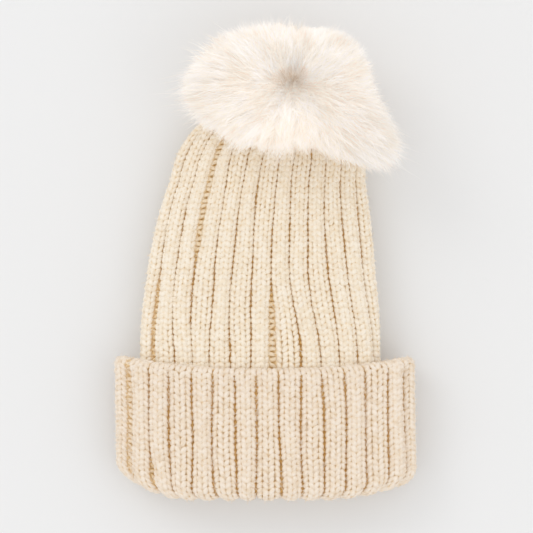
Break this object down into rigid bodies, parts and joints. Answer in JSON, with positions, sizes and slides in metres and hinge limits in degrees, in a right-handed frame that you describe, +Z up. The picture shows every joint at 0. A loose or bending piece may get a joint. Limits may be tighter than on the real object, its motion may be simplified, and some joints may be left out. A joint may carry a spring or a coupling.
{
  "type": "pom pom beanie",
  "caption": "Rib-knit beanie lying flat, with a turned-up cuff and a fur pom held on the crown by a press stud.",
  "frame": {"origin": "on the table under the middle of the hat's footprint", "axes": "+X across the hat, +Y from the brim to the pom, +Z up from the table; the front of the hat faces up"},
  "size_m": [0.1932, 0.3068, 0.1028],
  "materials": {
    "rib_knit": "cream wool-blend yarn, round ribs",
    "cuff_knit": "cream wool-blend yarn, round ribs",
    "welt_knit": "cream yarn, smooth rolled edge",
    "seam_yarn": "cream yarn",
    "felt": "pressed felt",
    "snap_nickel": "nickel-plated pressed metal",
    "spring_wire": "drawn spring wire",
    "hide": "undyed suede side out",
    "stuffing": "loose polyester fill",
    "drawstring_thread": "twisted thread",
    "fur": "long soft fur"
  },
  "bodies": {
    "hat": {"crown_knit": "rib_knit", "turned_cuff": "cuff_knit", "cuff_welt": "welt_knit", "side_seam": "seam_yarn", "cuff_seam": "seam_yarn"},
    "snap_base": {"crown_rosette": "rib_knit", "crown_cinch_yarn": "seam_yarn", "crown_patch": "felt", "snap_post_cap": "snap_nickel", "snap_stud": "snap_nickel"},
    "snap_ring": {"snap_spring": "spring_wire"},
    "pom": {"snap_socket": "snap_nickel", "snap_socket_cap": "snap_nickel", "pom_felt_disc": "felt", "pom_skin": "hide", "pom_stuffing": "stuffing", "pom_drawstring": "drawstring_thread", "pom_fur": "fur"}
  },
  "joints": [
    {"name": "crown_tilt", "type": "hinge", "parent": "hat", "child": "snap_base", "pos_m": [0.015, 0.095, 0.02724], "axis": [-1, 0, 0], "range_deg": [0, 25]},
    {"name": "pom_unsnap", "type": "slide", "parent": "snap_base", "child": "snap_ring", "axis": [0, 0.2588, 0.9659], "range_m": [0, 0.035], "deforming": ["snap_spring"]},
    {"name": "pom_spin", "type": "hinge", "parent": "snap_ring", "child": "pom", "pos_m": [0.015, 0.095, 0.02724], "axis": [0, 0.2588, 0.9659], "continuous": true}
  ]
}
